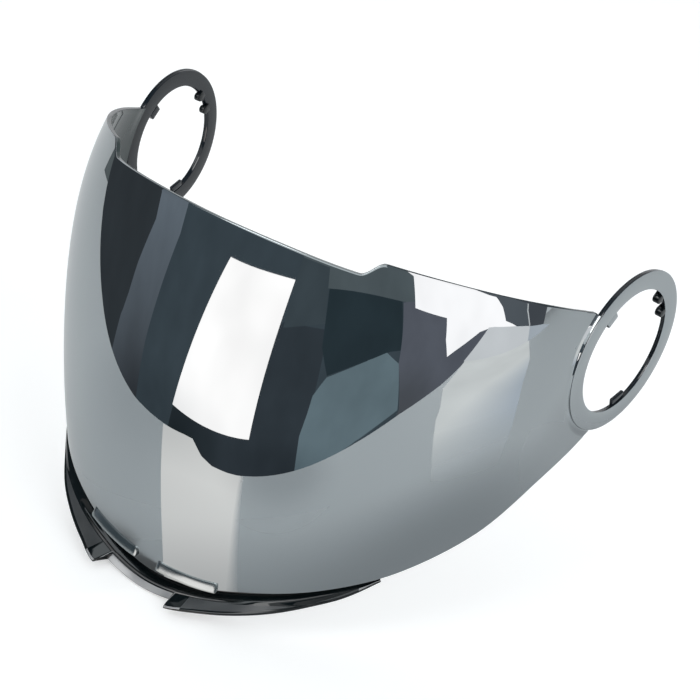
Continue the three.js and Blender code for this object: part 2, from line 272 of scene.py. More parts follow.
def chin_edge_at(phi):
    """Height of the chin edge at an angle from the front."""
    return chin_edge(abs(phi) / FOOT_PHI)


# Mesh helpers

MERGE_DISTANCE = 1e-7
CORNER_STEPS = 3
CORNER_POINTS = CORNER_STEPS + 1
CORNER_REACH_SHARE = 0.45


def grid_piece(columns, rows, place, paint=None):
    """Closed body from a grid: columns run along it, rows run round its section."""
    bm = bmesh.new()
    bmesh.ops.create_grid(bm, x_segments=columns, y_segments=rows, size=0.5)
    if paint:
        for face in bm.faces:
            centre = face.calc_center_median()
            face.material_index = paint((centre.x + 0.5) * columns, (centre.y + 0.5) * rows)
    for vert in bm.verts:
        i = round((vert.co.x + 0.5) * columns)
        j = round((vert.co.y + 0.5) * rows)
        vert.co = place(i, j % rows) * MM
    bmesh.ops.remove_doubles(bm, verts=bm.verts, dist=MERGE_DISTANCE)
    rims = [edge for edge in bm.edges if edge.is_boundary]
    ends = bmesh.ops.holes_fill(bm, edges=rims, sides=0)["faces"]
    bmesh.ops.triangulate(bm, faces=ends)
    bmesh.ops.recalc_face_normals(bm, faces=bm.faces)
    return bm


def finish_piece(name, bm, materials, replaced, sharp=35):
    """Object from a mesh in the model's frame, riding on the one body."""
    mesh = bpy.data.meshes.new(name)
    bm.to_mesh(mesh)
    bm.free()
    mesh.polygons.foreach_set("use_smooth", [True] * len(mesh.polygons))
    mesh.set_sharp_from_angle(angle=sharp * DEG)
    for material in materials:
        mesh.materials.append(material)
    piece = bpy.data.objects.new(name, mesh)
    bpy.context.scene.collection.objects.link(piece)
    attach(piece, "root")
    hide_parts(*replaced)
    return piece


def mirrored(bm):
    """The same mesh on the other side, turned outward again."""
    other = bm.copy()
    bmesh.ops.scale(other, vec=(-1, 1, 1), verts=other.verts)
    bmesh.ops.recalc_face_normals(other, faces=other.faces)
    return other


def pair(name, bm, materials, nodes, sharp=35):
    """The piece at the wearer's left and its mirror image at the right."""
    other = mirrored(bm)
    return (
        finish_piece(f"{name}_left", bm, materials, [f"{n}_left" for n in nodes], sharp),
        finish_piece(f"{name}_right", other, materials, [f"{n}_right" for n in nodes], sharp),
    )


def rounded(points, radii):
    """Outline with its corners rounded, the same number of points whatever the sizes."""
    corners = [Vector(point) for point in points]
    out = []
    for i, corner in enumerate(corners):
        before = corners[i - 1] - corner
        after = corners[(i + 1) % len(corners)] - corner
        longest = CORNER_REACH_SHARE * min(before.length, after.length)
        reach = min(radii[i], longest)
        start = corner + before.normalized() * reach
        end = corner + after.normalized() * reach
        for k in range(CORNER_POINTS):
            t = k / CORNER_STEPS
            out.append(start * (1 - t) ** 2 + corner * 2 * t * (1 - t) + end * t**2)
    return out


# Lens moulding

LENS_COAT, LENS_INSIDE, LENS_SMOKE = range(3)
OUTER_ROWS = 144
INNER_ROWS = 48
ROUND_ROWS = 4
RECESS_COLUMNS = 44
STEP_COLUMNS = 20
SIDE_COLUMNS = 62
STEP_MARGIN_SHARE = 0.03
STEP_START_SHARE = STEP_INNER_SHARE * (1 - STEP_MARGIN_SHARE)
STEP_STOP_SHARE = STEP_OUTER_SHARE * (1 + STEP_MARGIN_SHARE)

# Places across the shoulder, as shares from the lens (0) to under the ring's edge (1).
SHOULDER_SHARES = [0.07 * k for k in range(1, 5)] + [0.28 + 0.027 * k for k in range(1, 21)]
SHOULDER_SHARES += [0.88, 0.94, 1.0]
SHOULDER_RAMP_SHARE = 0.8
SHOULDER_TUCK = 0.5
SLOPE_END_SHARE = 0.8
SLOPE_RISE_SHARE = 0.36
SLOPE_BLEND_START = 0.15
SLOPE_BLEND_RUN = 0.3
EDGE_DROP = 0.26
BACK_SHORTFALL = 0.1
INNER_GROOVE_SPEED = 6
EDGE_GROOVE_START = 0.76
EDGE_GROOVE_SPEED = 12
# From this share across the shoulder to the ring, its inside is the dark smoke: painted shade along the
# crease at the ring.
SEAM_PAINTED_SHADE_START = 0.55


def half_columns():
    """Shares across half the lens, closer together over the brow's sloping step."""
    step = STEP_STOP_SHARE - STEP_START_SHARE
    out = [STEP_START_SHARE * i / RECESS_COLUMNS for i in range(RECESS_COLUMNS)]
    out += [STEP_START_SHARE + step * i / STEP_COLUMNS for i in range(STEP_COLUMNS)]
    side = 1 - STEP_STOP_SHARE
    return out + [STEP_STOP_SHARE + side * i / SIDE_COLUMNS for i in range(SIDE_COLUMNS + 1)]


def section_rows():
    """Share up the lens and depth below its face, once round the section."""
    r = LENS_EDGE_ROUND
    inset = r / (BROW_HEIGHT + CHIN_DEPTH)
    turns = [math.pi / 2 * k / ROUND_ROWS for k in range(ROUND_ROWS + 1)]
    rows = [(inset + (1 - 2 * inset) * k / OUTER_ROWS, 0) for k in range(OUTER_ROWS)]
    rows += [(1 - inset + inset * math.sin(t), r - r * math.cos(t)) for t in turns]
    rows += [(1 - inset + inset * math.cos(t), LENS_THICKNESS - r + r * math.sin(t)) for t in turns]
    rows += [(1 - inset - (1 - 2 * inset) * k / INNER_ROWS, LENS_THICKNESS)
             for k in range(1, INNER_ROWS)]
    rows += [(inset - inset * math.sin(t), LENS_THICKNESS - r + r * math.cos(t)) for t in turns]
    return rows + [(inset - inset * math.cos(t), r - r * math.sin(t)) for t in turns[:-1]]


def ring_lift(point):
    """How far the lens bends out near a ring, so that it comes up to the ring's face."""
    from_ring = point - RING_CENTRE
    level = -from_ring.dot(RING_OUT)
    distance = math.hypot(from_ring.dot(RING_REAR), from_ring.z)
    share = smooth(1 - (distance - RING_OUTER) / STEP_BLEND_REACH)
    return RING_OUT * max(level - STEP_KEPT_RISE, 0) * share


def lens_moulding():
    """The lens and the shoulder round each ring, as one closed body."""
    half = half_columns()
    columns = [-1 - w for w in reversed(SHOULDER_SHARES)] + [-s for s in reversed(half[1:])]
    columns += half + [1 + w for w in SHOULDER_SHARES]
    rows = section_rows()
    chin = {s: chin_edge(s) for s in half}
    brow = {s: brow_edge(s) for s in half}
    ends = {v: lens_end(v) for v, depth in rows}

    def face_point(s, v, depth):
        end_phi, end_z = ends[v]
        phi = (1 - v) * s * FOOT_PHI + v * s * BROW_PHI
        phi += s * (end_phi - (1 - v) * FOOT_PHI - v * BROW_PHI)
        z = (1 - v) * chin[s] + v * brow[s] + s * (end_z - (1 - v) * FOOT_Z - v * BROW_Z)
        return lens_depth(phi, z, depth) + ring_lift(lens_point(phi, z))

    def shoulder_point(w, v, depth):
        start = step_radius(v) + SEAM
        across = w / SHOULDER_RAMP_SHARE
        if across <= 1:
            radius = start + (RING_OUTER - start) * across
        else:
            tuck = (w - SHOULDER_RAMP_SHARE) / (1 - SHOULDER_RAMP_SHARE)
            radius = RING_OUTER - SHOULDER_TUCK * tuck
        a, b = radius * math.cos(step_angle(v)), radius * math.sin(step_angle(v))
        on_lens = lens_point(lens_angle_over(a, b), b)
        level = (RING_CENTRE - on_lens - ring_lift(on_lens)).dot(RING_OUT)

        plain = smooth(across)
        slope = SLOPE_RISE_SHARE * min(across / SLOPE_END_SHARE, 1)
        wall = (1 - SLOPE_RISE_SHARE) * smooth((across - SLOPE_END_SHARE) / (1 - SLOPE_END_SHARE))
        rise = plain + (slope + wall - plain) * smooth((v - SLOPE_BLEND_START) / SLOPE_BLEND_RUN)

        top = level * (1 - rise) + EDGE_DROP * rise
        edge_groove = smooth((w - EDGE_GROOVE_START) * EDGE_GROOVE_SPEED)
        top += EDGE_GROOVE * edge_groove * smooth((1 - w) * EDGE_GROOVE_SPEED)
        low = (level + LENS_THICKNESS) * (1 - rise) + (RING_THICKNESS - BACK_SHORTFALL) * rise
        low -= INNER_GROOVE * smooth(w * INNER_GROOVE_SPEED) * smooth((1 - w) * INNER_GROOVE_SPEED)
        return ring_point(a, b, top + (low - top) * depth / LENS_THICKNESS)

    def place(i, j):
        s = columns[i]
        v, depth = rows[j]
        side = -1 if s < 0 else 1
        if abs(s) <= 1:
            point = face_point(abs(s), v, depth)
        else:
            point = shoulder_point(abs(s) - 1, v, depth)
        return Vector((side * point.x, point.y, point.z))

    def paint(i, j):
        across = abs(columns[int(i)])
        # Past the brow's step the rim is dark smoke instead of the coat and the inside tone: a painted
        # dark reflection line along the sides of the brow.
        brow_rim = OUTER_ROWS + 1 < j < OUTER_ROWS + 2 * ROUND_ROWS
        if brow_rim and across > STEP_OUTER_SHARE:
            return LENS_SMOKE
        if j < OUTER_ROWS + ROUND_ROWS or j > len(rows) - ROUND_ROWS:
            return LENS_COAT
        # Painted shade: the inside of the shoulder next to the ring is dark smoke.
        return LENS_SMOKE if across > 1 + SEAM_PAINTED_SHADE_START else LENS_INSIDE

    return grid_piece(len(columns) - 1, len(rows), place, paint)


# Side rings and bore pieces

RING_COAT, RING_SMOKE = range(2)
RING_STEPS = 160
RING_EDGE_HEIGHT = 0.9
RING_UNDERCUT = 0.3
RING_UNDERCUT_FALL = 0.15
BORE_EDGE_HEIGHT = 1.0
BORE_RELIEF = 0.35
BORE_RELIEF_FALL = 0.2
RING_RADII = (0.25, 0.3, 0.1, 0.1, 0.3, 0.3, 0.1, 0.1)
RING_FACE_SLANT = 0.3

BLOCK_ROUND_STEPS = 3
TAB_SIZE = (6.0, 3.6, RING_THICKNESS - 0.1)
TAB_ROUND = 0.35
TAB_ANGLE = 130
TAB_INSET = 1.5
TAB_FACE_SLANT = 0.5
PEG_RADIUS = 1.95
PEG_LENGTH = 3.0
PEG_SIDES = 28
PEG_ROUND = 0.45
PEG_INSET = 1.4
CAP_SIZE = (4.0, 3.6, 0.75)
CAP_ROUND = 0.3
CAP_INSET = 0.4
CAP_DROP = 0.42
UPPER_PEG_ANGLE = 44.5
LOWER_PEG_ANGLE = 23.5
STOP_SIZE = (7.8, 3.4, 1.6)
STOP_ROUND = 0.6
STOP_ANGLE = -76
STOP_INSET = 1.4
STOP_LEVEL = -1.35


def ring_body():
    """Section of the ring, radius and height over its outer face, spun round the bore."""
    edge = RING_OUTER - RING_UNDERCUT
    relief = RING_BORE + BORE_RELIEF
    section = rounded([
        (RING_BORE, 0),
        (RING_OUTER, 0),
        (RING_OUTER, -RING_EDGE_HEIGHT),
        (edge, -RING_EDGE_HEIGHT - RING_UNDERCUT_FALL),
        (edge, -RING_THICKNESS),
        (relief, -RING_THICKNESS),
        (relief, -BORE_EDGE_HEIGHT - BORE_RELIEF_FALL),
        (RING_BORE, -BORE_EDGE_HEIGHT),
    ], RING_RADII)
    bm = bmesh.new()
    verts = [bm.verts.new((p.x * MM, 0, p.y * MM)) for p in section]
    edges = [bm.edges.new((verts[i - 1], verts[i])) for i in range(len(verts))]
    bmesh.ops.spin(bm, geom=verts + edges, axis=(0, 0, 1), cent=(0, 0, 0), steps=RING_STEPS,
                   angle=2 * math.pi, use_merge=True)
    bmesh.ops.remove_doubles(bm, verts=bm.verts, dist=MERGE_DISTANCE)
    bmesh.ops.recalc_face_normals(bm, faces=bm.faces)
    for face in bm.faces:
        face.material_index = RING_COAT if face.normal.z > RING_FACE_SLANT else RING_SMOKE
    bmesh.ops.transform(bm, matrix=RING_PLACE, verts=bm.verts)
    return bm


def block(size, round_by):
    """Rounded block: width along the rim, reach toward the bore centre, height along the pivot axis."""
    width, reach, height = size
    bm = bmesh.new()
    bmesh.ops.create_cube(bm, size=1)
    bmesh.ops.scale(bm, vec=(reach * MM, width * MM, height * MM), verts=bm.verts)
    bmesh.ops.bevel(bm, geom=bm.edges, offset=round_by * MM, segments=BLOCK_ROUND_STEPS, profile=0.5,
                    affect="EDGES", material=-1)
    return bm


def at_rim(bm, angle, radius, height):
    """Sets a piece made round the origin at an angle and radius of the bore."""
    turn = Matrix.Rotation(angle * DEG, 4, "Z")
    shift = Matrix.Translation(Vector((radius, 0, height)) * MM)
    bmesh.ops.transform(bm, matrix=RING_PLACE @ turn @ shift, verts=bm.verts)
    return bm


def joined(first, second):
    """Adds the second mesh to the first."""
    spare = bpy.data.meshes.new("spare")
    second.to_mesh(spare)
    second.free()
    first.from_mesh(spare)
    bpy.data.meshes.remove(spare)
    return first


def bore_peg(angle):
    """Peg in the bore with a cap that laps over the inner face of the ring."""
    peg = bmesh.new()
    bmesh.ops.create_cone(peg, cap_ends=True, segments=PEG_SIDES, radius1=PEG_RADIUS * MM,
                          radius2=PEG_RADIUS * MM, depth=PEG_LENGTH * MM)
    rims = [edge for edge in peg.edges if edge.calc_face_angle(0) > 1]
    bmesh.ops.bevel(peg, geom=rims, offset=PEG_ROUND * MM, segments=BLOCK_ROUND_STEPS, profile=0.5,
                    affect="EDGES", material=-1)
    at_rim(peg, angle, RING_BORE - PEG_INSET, -PEG_LENGTH / 2)
    cap = at_rim(block(CAP_SIZE, CAP_ROUND), angle, RING_BORE - CAP_INSET, -RING_THICKNESS - CAP_DROP)
    return joined(peg, cap)


def bore_pieces(mirror_coat, smoke, black):
    """What stands in each ring's bore: locating tab, two pegs and stop lug."""
    tab = block(TAB_SIZE, TAB_ROUND)
    for face in tab.faces:
        face.material_index = RING_COAT if face.normal.z > TAB_FACE_SLANT else RING_SMOKE
    at_rim(tab, TAB_ANGLE, RING_BORE - TAB_INSET, -RING_THICKNESS / 2)
    pair("bore_tab", tab, [mirror_coat, smoke], ["locating_tab"])
    pair("bore_peg_upper", bore_peg(UPPER_PEG_ANGLE), [black], ["upper_tooth"])
    pair("bore_peg_lower", bore_peg(LOWER_PEG_ANGLE), [black], ["lower_tooth"])
    stop = at_rim(block(STOP_SIZE, STOP_ROUND), STOP_ANGLE, RING_BORE - STOP_INSET, STOP_LEVEL)
    pair("bore_lug", stop, [smoke], ["stop_lug"])


# Chin lip

# The third lip finish is a lighter grey: the painted highlight on the notch rim, the lug corners, the
# tips and the notch walls.
LIP_GLOSS, LIP_SATIN, LIP_PAINTED_HIGHLIGHT = range(3)
NOTCH_ANGLE = math.asin(NOTCH_HALF_WIDTH / (LENS_RADIUS + LUG_REACH))
LIP_END = LIP_HALF_ANGLE * DEG
LUG_COLUMNS = 60
NOTCH_WALL_COLUMNS = 12
NOTCH_COLUMNS = 30

CHANNEL_WIDTH = 4.2
CHANNEL_TAPER = 1.3
CHANNEL_WIDEST_SHARE = 0.55
CHANNEL_DEPTH = 1.1
CHANNEL_DEEPEST_SHARE = 0.6
SHELF_EDGE_RISE = 1.5
SHELF_EDGE_FALL = 0.35
SHELF_BACK_SHARE = 0.75
SHELF_BACK_RUN = 0.8
SHELF_LEAST_REACH = 1.5
RIM_RUN = 0.7
RIM_FALL = 0.45
RIM_WIDEST_SHARE = 0.4
NOTCH_RIM_EXTRA_RUN = 1.6
NOTCH_RIM_EXTRA_FALL = 0.95
RIM_WALL = 0.4
LIP_EDGE_HEIGHT = 0.9
LIP_EDGE_FALL = 0.1
LIP_EDGE_SLANT = 0.3
LIP_RADII = (0.4, 0.4, 0.5, 0.8, 0.5, 0.7, 0.5, 0.5, 1.0)


def lip_columns():
    """Angle and depth into the notch (0 on the lug, 1 in the notch) of each section."""
    wall = LUG_WALL_RUN / LENS_RADIUS
    side = [(LIP_END + (NOTCH_ANGLE - LIP_END) * math.sin(math.pi / 2 * i / LUG_COLUMNS), 0)
            for i in range(LUG_COLUMNS + 1)]
    side += [(NOTCH_ANGLE - wall * i / NOTCH_WALL_COLUMNS, smooth(i / NOTCH_WALL_COLUMNS))
             for i in range(1, NOTCH_WALL_COLUMNS)]
    side += [((NOTCH_ANGLE - wall) * (1 - i / NOTCH_COLUMNS), 1) for i in range(NOTCH_COLUMNS + 1)]
    return [(-phi, notch) for phi, notch in side] + list(reversed(side[:-1]))


def lip_outline(phi, notch):
    """Section of the lip, out from the lens face and up from the chin edge, and where it starts."""
    z = chin_edge_at(phi)
    base = lens_radius(phi, z)
    t = max((abs(phi) - NOTCH_ANGLE) / (LIP_END - NOTCH_ANGLE), 0)
    reach = (1 - notch) * LUG_REACH * curve(LIP_REACH_SHARES, t) + notch * NOTCH_REACH
    drop = (1 - notch) * LIP_DROP * curve(LIP_DROP_SHARES, t) + notch * NOTCH_DROP
    groove = LIP_GROOVE * curve(LIP_GROOVE_SHARES, t)

    inner = -LENS_THICKNESS - LIP_CLEARANCE
    wall_in = lens_radius(phi, z + LIP_WALL_HEIGHT) - base + inner
    foot = -groove - LIP_SHELF

    channel = min(CHANNEL_WIDTH * (1 - t) ** CHANNEL_TAPER, reach * CHANNEL_WIDEST_SHARE)
    top = min(SHELF_EDGE_RISE - drop, -groove - SHELF_EDGE_FALL)
    back = -groove * SHELF_BACK_SHARE
    shelf = back + (top - back) * (channel + SHELF_BACK_RUN) / max(reach, SHELF_LEAST_REACH)

    rim_run = min(RIM_RUN + NOTCH_RIM_EXTRA_RUN * notch, reach * RIM_WIDEST_SHARE)
    rim_fall = RIM_FALL + NOTCH_RIM_EXTRA_FALL * notch
    low = min(-drop - LIP_EDGE_FALL, top - LIP_EDGE_HEIGHT, top - rim_fall - RIM_WALL)
    outline = rounded([
        (wall_in - LIP_WALL, LIP_WALL_HEIGHT),
        (wall_in, LIP_WALL_HEIGHT),
        (inner, -groove),
        (channel * CHANNEL_DEEPEST_SHARE, -groove - CHANNEL_DEPTH),
        (channel, shelf),
        (reach - rim_run, top),
        (reach, top - rim_fall),
        (reach - LIP_EDGE_SLANT, low),
        (inner - LIP_WALL, foot),
    ], LIP_RADII)
    return z, base, outline


# Rows of the section: the shelf runs between its fifth and sixth corners.
SHELF_ROW = 5 * CORNER_POINTS - 1
# Rows and spans that take the painted highlight grey: the rim, the tips and part of the notch walls.
RIM_ROWS = (SHELF_ROW + 2, SHELF_ROW + 6)
TIP_HIGHLIGHT_ROWS = (SHELF_ROW - 6, SHELF_ROW + 3)
NOTCH_WALL_ROWS = (SHELF_ROW - 4, SHELF_ROW + 2)
NOTCH_WALL_HIGHLIGHT = (0.2, 0.5)
LUG_CORNER_ANGLE = 2.6
LIP_TIP_ANGLE = 42


def within(span, value):
    """Whether a value lies between the two ends of a span."""
    return span[0] < value < span[1]


def lip_body():
    """The lip along the chin edge: a wall behind the lens, a shelf, two finger lugs and a notch."""
    columns = lip_columns()
    outlines = [lip_outline(phi, notch) for phi, notch in columns]

    def place(i, j):
        phi = columns[i][0]
        z, base, outline = outlines[i]
        reach, rise = outline[j]
        r = base + reach
        return Vector((r * math.sin(phi), -LENS_AXIS_BACK - r * math.cos(phi), z + rise))

    def paint(i, j):
        phi, notch = columns[int(i)]
        corner = notch == 0 and abs(phi) < NOTCH_ANGLE + LUG_CORNER_ANGLE * DEG
        tip = abs(phi) > LIP_TIP_ANGLE * DEG
        # Painted highlights: the rim of the notch and of the lug corners, the tips and part of the
        # notch walls take the lighter grey. Near a lug's corner the top stays gloss black.
        if within(RIM_ROWS, j) and (notch == 1 or corner):
            return LIP_PAINTED_HIGHLIGHT
        if within(TIP_HIGHLIGHT_ROWS, j) and tip:
            return LIP_PAINTED_HIGHLIGHT
        if within(NOTCH_WALL_ROWS, j) and within(NOTCH_WALL_HIGHLIGHT, notch):
            return LIP_PAINTED_HIGHLIGHT
        if SHELF_ROW < j < SHELF_ROW + 1 and notch == 0 and not corner:
            return LIP_SATIN
        return LIP_GLOSS

    return grid_piece(len(columns) - 1, len(LIP_RADII) * CORNER_POINTS, place, paint)


# Bars on the lens

BAR_INNER_ANGLE = 2.6
BAR_OUTER_ANGLE = 16.0
BAR_HEIGHT = 3.6
BAR_FOOT_PROUD = 2.9
BAR_TOP_PROUD = 0.35
BAR_ROOT = 0.3
BAR_INNER_RISE = 4.4
BAR_OUTER_RISE = 0.5
BAR_STEPS = 24
BAR_END_SHARE = 0.02
BAR_END_BEVEL = 0.25
BAR_RADII = (0.2, 1.1, 0.2, 0.2)


def bar_body():
    """Raised bar on the lens: its face leans up, so its foot stands further out than its top."""
    middle = [BAR_END_SHARE + (1 - 2 * BAR_END_SHARE) * i / BAR_STEPS for i in range(BAR_STEPS + 1)]
    shares = [0, *middle, 1]

    def place(i, j):
        share = shares[i]
        phi = (BAR_INNER_ANGLE + (BAR_OUTER_ANGLE - BAR_INNER_ANGLE) * share) * DEG
        low = chin_edge_at(phi) + BAR_INNER_RISE + (BAR_OUTER_RISE - BAR_INNER_RISE) * share
        shrink = BAR_END_BEVEL if share in (0, 1) else 0
        high = BAR_HEIGHT - shrink
        outline = rounded([
            (shrink, -BAR_ROOT),
            (shrink, BAR_FOOT_PROUD - shrink),
            (high, BAR_TOP_PROUD - shrink),
            (high, -BAR_ROOT),
        ], BAR_RADII)
        rise, proud = outline[j]
        return lens_depth(phi, low + rise, -proud)

    return grid_piece(len(shares) - 1, len(BAR_RADII) * CORNER_POINTS, place)


# Materials


def node_group(name, inputs, outputs):
    group = bpy.data.node_groups.new(name, "ShaderNodeTree")
    for label, kind, value in inputs:
        socket = group.interface.new_socket(name=label, in_out="INPUT", socket_type=kind)
        socket.default_value = value
    for label, kind in outputs:
        group.interface.new_socket(name=label, in_out="OUTPUT", socket_type=kind)
    return group, group.nodes.new("NodeGroupInput"), group.nodes.new("NodeGroupOutput")


def feed(tree, socket, value):
    """Sets a socket to a number or links another socket to it."""
    if isinstance(value, bpy.types.NodeSocket):
        tree.links.new(value, socket)
    else:
        socket.default_value = value


def noise(tree, scale, detail, roughness=0.5):
    """Noise in the object's own coordinates."""
    node = tree.nodes.new("ShaderNodeTexNoise")
    place = tree.nodes.new("ShaderNodeTexCoord").outputs["Object"]
    feed(tree, node.inputs["Vector"], place)
    feed(tree, node.inputs["Scale"], scale)
    feed(tree, node.inputs["Detail"], detail)
    feed(tree, node.inputs["Roughness"], roughness)
    return node.outputs["Fac"]


def spread(tree, value, low, high, to_low, to_high, kind="LINEAR"):
    """Maps a value from one range to another."""
    node = tree.nodes.new("ShaderNodeMapRange")
    node.interpolation_type = kind
    feed(tree, node.inputs["Value"], value)
    feed(tree, node.inputs["From Min"], low)
    feed(tree, node.inputs["From Max"], high)
    feed(tree, node.inputs["To Min"], to_low)
    feed(tree, node.inputs["To Max"], to_high)
    return node.outputs["Result"]


def mixed_color(tree, share, first, second):
    node = tree.nodes.new("ShaderNodeMix")
    node.data_type = "RGBA"
    feed(tree, node.inputs[0], share)
    feed(tree, node.inputs[6], first)
    feed(tree, node.inputs[7], second)
    return node.outputs[2]


def make_handling_group():
    """Faint smudges: a roughness that varies between two values."""
    group, given, out = node_group(
        "handling_marks",
        [("Clean", "NodeSocketFloat", 0.03), ("Smudged", "NodeSocketFloat", 0.08)],
        [("Roughness", "NodeSocketFloat")],
    )
    smudges = noise(group, scale=22, detail=3, roughness=0.55)
    mask = spread(group, smudges, 0.42, 0.75, 0, 1)
    rough = spread(group, mask, 0, 1, given.outputs["Clean"], given.outputs["Smudged"])
    group.links.new(rough, out.inputs["Roughness"])
    return group


def make_tone_group():
    """Slow change between two tones of one finish."""
    group, given, out = node_group(
        "tone_drift",
        [("Tone A", "NodeSocketColor", (0.5, 0.5, 0.5, 1)),
         ("Tone B", "NodeSocketColor", (0.6, 0.6, 0.6, 1)),
         ("Scale", "NodeSocketFloat", 12)],
        [("Color", "NodeSocketColor")],
    )
    drift = noise(group, scale=given.outputs["Scale"], detail=2)
    share = spread(group, drift, 0.3, 0.7, 0, 1)
    color = mixed_color(group, share, given.outputs["Tone A"], given.outputs["Tone B"])
    group.links.new(color, out.inputs["Color"])
    return group


def make_flow_group():
    """Height of the slow waviness that moulding leaves in a polished face."""
    group, given, out = node_group(
        "mould_flow", [("Scale", "NodeSocketFloat", 30)], [("Height", "NodeSocketFloat")])
    waves = noise(group, scale=given.outputs["Scale"], detail=1)
    group.links.new(waves, out.inputs["Height"])
    return group


GROUPS = {
    "handling": make_handling_group(),
    "tone": make_tone_group(),
    "flow": make_flow_group(),
}


def use_group(tree, key, **values):
    node = tree.nodes.new("ShaderNodeGroup")
    node.node_tree = GROUPS[key]
    for label, value in values.items():
        node.inputs[label.replace("_", " ")].default_value = value
    return node


def tone(tree, first, second, scale):
    """Colour that drifts between two tones."""
    node = use_group(tree, "tone", Tone_A=(*first, 1), Tone_B=(*second, 1), Scale=scale)
    return node.outputs["Color"]


def finish_material(name, tones, roughness, metallic=0.0, ior=1.5, tone_scale=12, flow=(30, 0.002)):
    """Moulded finish: two tones, clean and smudged roughness, scale and height of its waviness."""
    material = bpy.data.materials.new(name)
    material.use_nodes = True
    tree = material.node_tree
    shader = tree.nodes["Principled BSDF"]
    shader.inputs["Metallic"].default_value = metallic
    shader.inputs["IOR"].default_value = ior
    tree.links.new(tone(tree, *tones, tone_scale), shader.inputs["Base Color"])
    marks = use_group(tree, "handling", Clean=roughness[0], Smudged=roughness[1])
    tree.links.new(marks.outputs["Roughness"], shader.inputs["Roughness"])
    wave = use_group(tree, "flow", Scale=flow[0])
    bump = tree.nodes.new("ShaderNodeBump")
    bump.inputs["Strength"].default_value = 1
    bump.inputs["Distance"].default_value = flow[1] * MM
    tree.links.new(wave.outputs["Height"], bump.inputs["Height"])
    tree.links.new(bump.outputs["Normal"], shader.inputs["Normal"])
    return material


# Studio pieces, in metres

TABLE_LEVEL = -0.1135
TABLE_FRONT = (
    (-2.6, 0.33), (-0.733, -0.112), (-0.344, -0.203), (-0.143, -0.243), (-0.052, -0.272),
    (-0.039, -0.275), (-0.030, -0.267), (-0.017, -0.255), (0.0, -0.2475), (0.020, -0.2465),
    (0.106, -0.261), (0.319, -0.298), (0.552, -0.318), (2.6, -0.62),
)
TABLE_BACK = ((2.6, 2.4), (-2.6, 2.4))
GROUND = ((-6, -6), (6, -6), (6, 6), (-6, 6))
GROUND_DROP = 0.002
PAPER_COLOR = (0.60, 0.627, 0.640)
PAPER_ROUGHNESS = 0.6
PAPER_GLOW = (("Is Camera Ray", 0.50), ("Is Transmission Ray", 0.50), ("Is Glossy Ray", 0.12))
VIEW_POINT = Vector((0, -0.12, -0.03))
ROOM_RADIUS = 2.4
ROOM_STEPS = 48


def stage_mesh(name, bm, material, camera=True, glossy=True, diffuse=True, shadow=True):
    mesh = bpy.data.meshes.new(name)
    bm.to_mesh(mesh)
    bm.free()
    mesh.materials.append(material)
    piece = bpy.data.objects.new(name, mesh)
    bpy.context.scene.collection.objects.link(piece)
    piece.visible_camera = camera
    piece.visible_glossy = glossy
    piece.visible_diffuse = diffuse
    piece.visible_shadow = shadow
    piece.visible_transmission = camera


def mirror_mesh(name, bm, material):
    """Stage piece that only reflections show."""
    stage_mesh(name, bm, material, camera=False, diffuse=False, shadow=False)


def flat_board(corners, level):
    """Level board, facing up."""
    bm = bmesh.new()
    board = bm.faces.new([bm.verts.new((x, y, level)) for x, y in corners])
    board.normal_update()
    if board.normal.z < 0:
        board.normal_flip()
    return bm


def card(points):
    """Card of any outline."""
    bm = bmesh.new()
    bm.faces.new([bm.verts.new(point) for point in points])
    bmesh.ops.triangulate(bm, faces=bm.faces)
    return bm


def paper_material():
    """Pale paper that shows white to the camera and pale in reflections, and keeps shadows."""
    material = bpy.data.materials.new("table_paper")
    material.use_nodes = True
    tree = material.node_tree
    shader = tree.nodes["Principled BSDF"]
    shader.inputs["Base Color"].default_value = (*PAPER_COLOR, 1)
    shader.inputs["Roughness"].default_value = PAPER_ROUGHNESS
    shader.inputs["Emission Color"].default_value = (1, 1, 1, 1)
    path = tree.nodes.new("ShaderNodeLightPath")
    strength = 0
    for label, share in PAPER_GLOW:
        scaled = tree.nodes.new("ShaderNodeMath")
        scaled.operation = "MULTIPLY_ADD"
        feed(tree, scaled.inputs[0], path.outputs[label])
        feed(tree, scaled.inputs[1], share)
        feed(tree, scaled.inputs[2], strength)
        strength = scaled.outputs[0]
    tree.links.new(strength, shader.inputs["Emission Strength"])
    return material


def unlit_material(name):
    """Material with its shader still to be made, and its node tree."""
    material = bpy.data.materials.new(name)
    material.use_nodes = True
    tree = material.node_tree
    tree.nodes.remove(tree.nodes["Principled BSDF"])
    return material, tree


def mixed_shader(tree, share, first, second):
    node = tree.nodes.new("ShaderNodeMixShader")
    tree.links.new(share, node.inputs["Fac"])
    tree.links.new(first, node.inputs[1])
    tree.links.new(second, node.inputs[2])
    return node.outputs["Shader"]


def distance_to(tree, point):
    """Distance of the shaded place from a point."""
    place = tree.nodes.new("ShaderNodeTexCoord").outputs["Object"]
    away = tree.nodes.new("ShaderNodeVectorMath")
    away.operation = "DISTANCE"
    away.inputs[1].default_value = point
    tree.links.new(place, away.inputs[0])
    return away.outputs["Value"]


